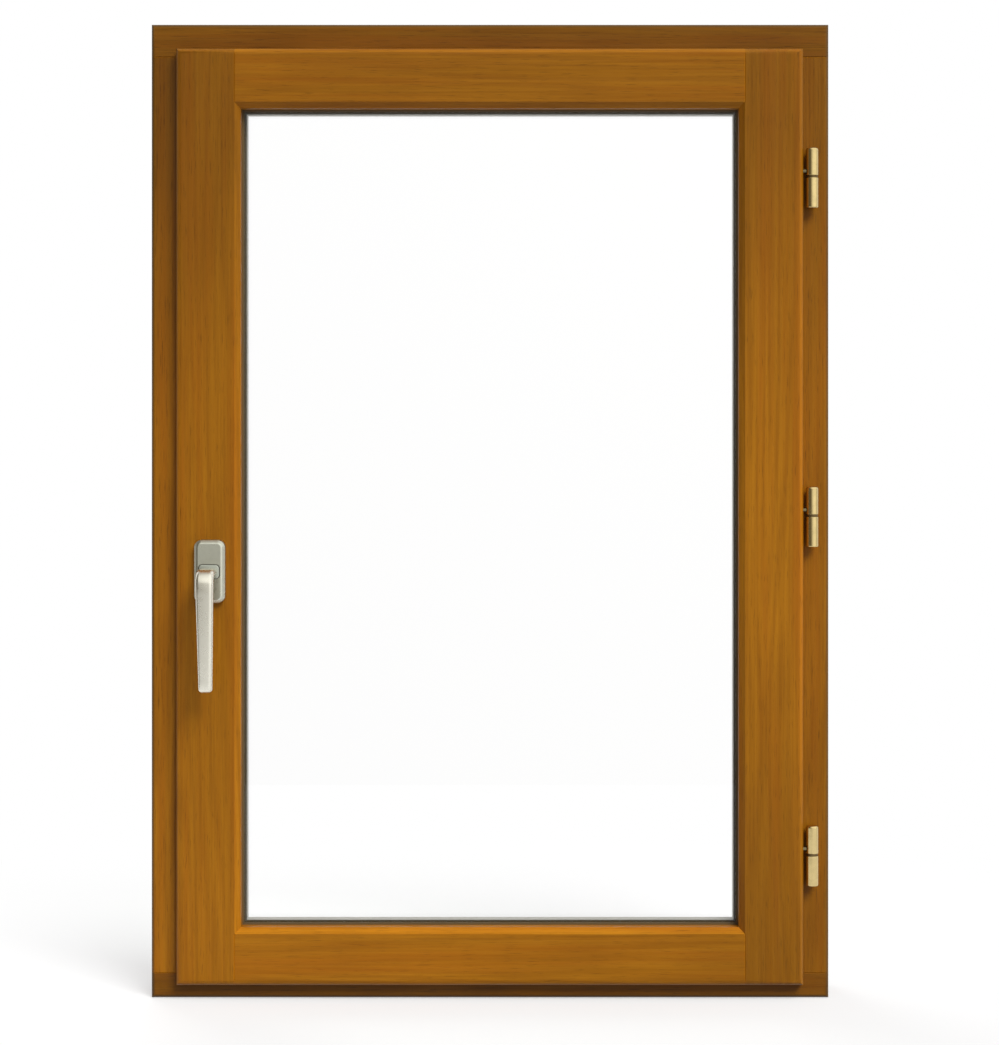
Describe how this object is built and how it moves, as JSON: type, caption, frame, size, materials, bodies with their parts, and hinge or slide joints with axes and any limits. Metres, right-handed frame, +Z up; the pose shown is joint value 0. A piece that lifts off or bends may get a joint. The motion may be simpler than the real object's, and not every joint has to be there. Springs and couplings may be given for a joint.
{
  "type": "wooden casement window",
  "caption": "Side-hung wooden casement window opening into the room: fixed frame, sash with sealed double glazing, brass pin hinges on the right and an aluminium lever handle on the left.",
  "frame": {"origin": "middle of the flat underside of the frame's sill", "axes": "+X right as seen from the room, +Y out of doors, +Z up; the sash's hinges are at +X"},
  "size_m": [0.7, 0.14, 1.006],
  "materials": {
    "frame_wood": "satin lacquered hardwood, golden brown",
    "sash_wood": "satin lacquered hardwood, golden brown",
    "window_glass": "clear",
    "spacer_metal": "matt",
    "glazing_rubber": "matt, dark grey-brown",
    "weather_rubber": "matt, dark brown",
    "block_plastic": "matt",
    "pin_steel": "bright",
    "washer_brass": "bright",
    "hinge_brass": "satin",
    "lock_steel": "zinc plated",
    "handle_aluminium": "satin anodised"
  },
  "bodies": {
    "window": {"drip_rail": "sash_wood", "frame_head": "frame_wood", "frame_jamb_left": "frame_wood", "frame_jamb_right": "frame_wood", "frame_sill": "frame_wood", "glass_edge_sealant": "glazing_rubber", "glass_pane_inner": "window_glass", "glass_pane_outer": "window_glass", "glass_spacer": "spacer_metal", "glazing_bead_bottom": "sash_wood", "glazing_bead_left": "sash_wood", "glazing_bead_right": "sash_wood", "glazing_bead_top": "sash_wood", "glazing_blocks": "block_plastic", "glazing_seal_inner": "glazing_rubber", "glazing_seal_outer": "glazing_rubber", "handle_rosette": "handle_aluminium", "hinge_lower_frame_knuckle": "hinge_brass", "hinge_lower_pin": "pin_steel", "hinge_lower_sash_knuckle": "hinge_brass", "hinge_lower_washer": "washer_brass", "hinge_middle_frame_knuckle": "hinge_brass", "hinge_middle_pin": "pin_steel", "hinge_middle_sash_knuckle": "hinge_brass", "hinge_middle_washer": "washer_brass", "hinge_upper_frame_knuckle": "hinge_brass", "hinge_upper_pin": "pin_steel", "hinge_upper_sash_knuckle": "hinge_brass", "hinge_upper_washer": "washer_brass", "sash_rail_bottom": "sash_wood", "sash_rail_top": "sash_wood", "sash_stile_left": "sash_wood", "sash_stile_right": "sash_wood", "weather_seal": "weather_rubber"},
    "handle": {"handle_lever": "handle_aluminium", "handle_spindle": "lock_steel"}
  },
  "joints": [
    {"name": "handle_turn", "type": "hinge", "parent": "window", "child": "handle", "pos_m": [-0.2865, -0.056, 0.442], "axis": [0, -1, 0], "range_deg": [0, 90]}
  ]
}
